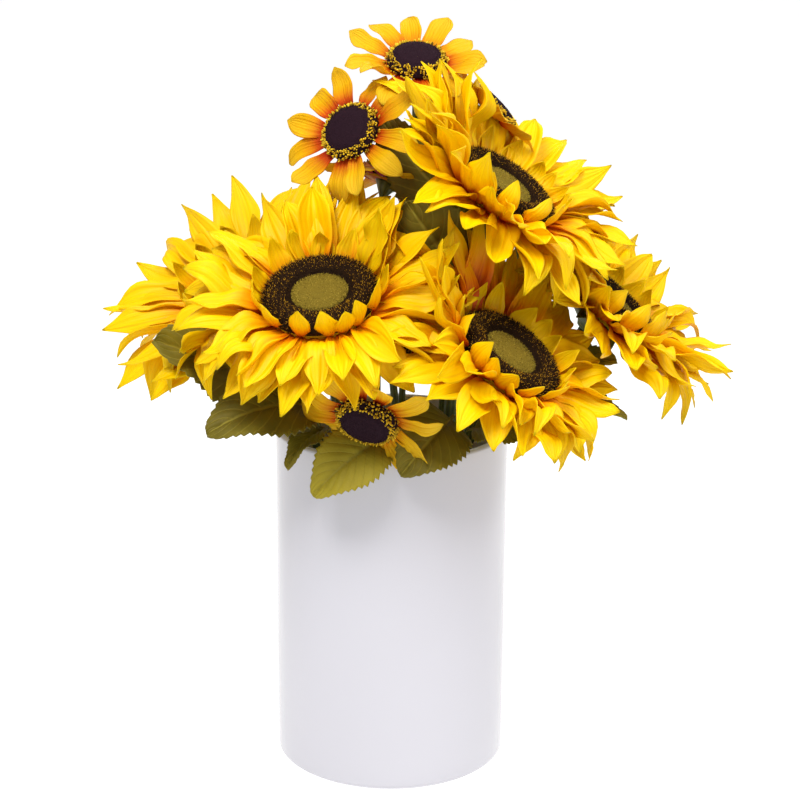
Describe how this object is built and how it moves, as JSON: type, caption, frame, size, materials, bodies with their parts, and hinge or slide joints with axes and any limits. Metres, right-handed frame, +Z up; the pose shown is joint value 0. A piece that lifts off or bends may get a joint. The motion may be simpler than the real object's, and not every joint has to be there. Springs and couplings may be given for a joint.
{
  "type": "sunflowers in vase",
  "caption": "Upright white cylinder vase holding a loose bunch of large and small sunflower heads with broad leaves, for decorating a table or shelf.",
  "frame": {"origin": "middle of the vase's flat underside", "axes": "+Z up along the vase, -Y to the front that the bunch faces, +X to the viewer's right"},
  "size_m": [0.4019, 0.2845, 0.4756],
  "materials": {
    "glaze": "glossy white glaze",
    "petal": "satin petal cloth, yellow running to orange at the foot",
    "golden": "thin woven petal cloth, golden running to red-orange at the foot",
    "seed": "bristly dark brown pile with golden specks and an olive middle",
    "dark": "short purplish black pile with a fringe of yellow florets",
    "leaf": "olive leaf cloth with pressed veins",
    "stem": "matt green moulded plastic"
  },
  "bodies": {
    "root": {"vase": "glaze", "stem_front_left": "stem", "disc_front_left": "seed", "stem_top_right": "stem", "disc_top_right": "seed", "stem_low_right": "stem", "disc_low_right": "seed", "stem_far_right": "stem", "disc_far_right": "seed", "stem_far_left": "stem", "disc_far_left": "seed", "stem_crown": "stem", "disc_crown": "dark", "stem_upper_left": "stem", "disc_upper_left": "dark", "stem_low_front": "stem", "disc_low_front": "dark", "stem_upper_right": "stem", "disc_upper_right": "dark", "stem_shaded": "stem", "disc_shaded": "dark", "stem_tucked": "stem", "disc_tucked": "dark", "leaf_left_upper": "leaf", "leaf_left_lower": "leaf", "leaf_rim_left": "leaf", "leaf_rim_front": "leaf", "leaf_rim_middle": "leaf", "leaf_rim_right": "leaf", "leaf_centre_upper": "leaf", "leaf_centre_lower": "leaf", "leaf_right_upper": "leaf", "leaf_right_lower": "leaf", "leaf_back": "leaf", "calyx_front_left": "stem", "outer_petals_front_left": "petal", "middle_petals_front_left": "petal", "inner_petals_front_left": "petal", "calyx_top_right": "stem", "outer_petals_top_right": "petal", "middle_petals_top_right": "petal", "inner_petals_top_right": "petal", "calyx_low_right": "stem", "outer_petals_low_right": "petal", "middle_petals_low_right": "petal", "inner_petals_low_right": "petal", "calyx_far_right": "stem", "outer_petals_far_right": "petal", "middle_petals_far_right": "petal", "inner_petals_far_right": "petal", "calyx_far_left": "stem", "outer_petals_far_left": "petal", "middle_petals_far_left": "petal", "inner_petals_far_left": "petal", "petals_crown": "golden", "petals_upper_left": "golden", "petals_low_front": "golden", "petals_upper_right": "golden", "petals_shaded": "golden", "petals_tucked": "golden"}
  },
  "joints": []
}
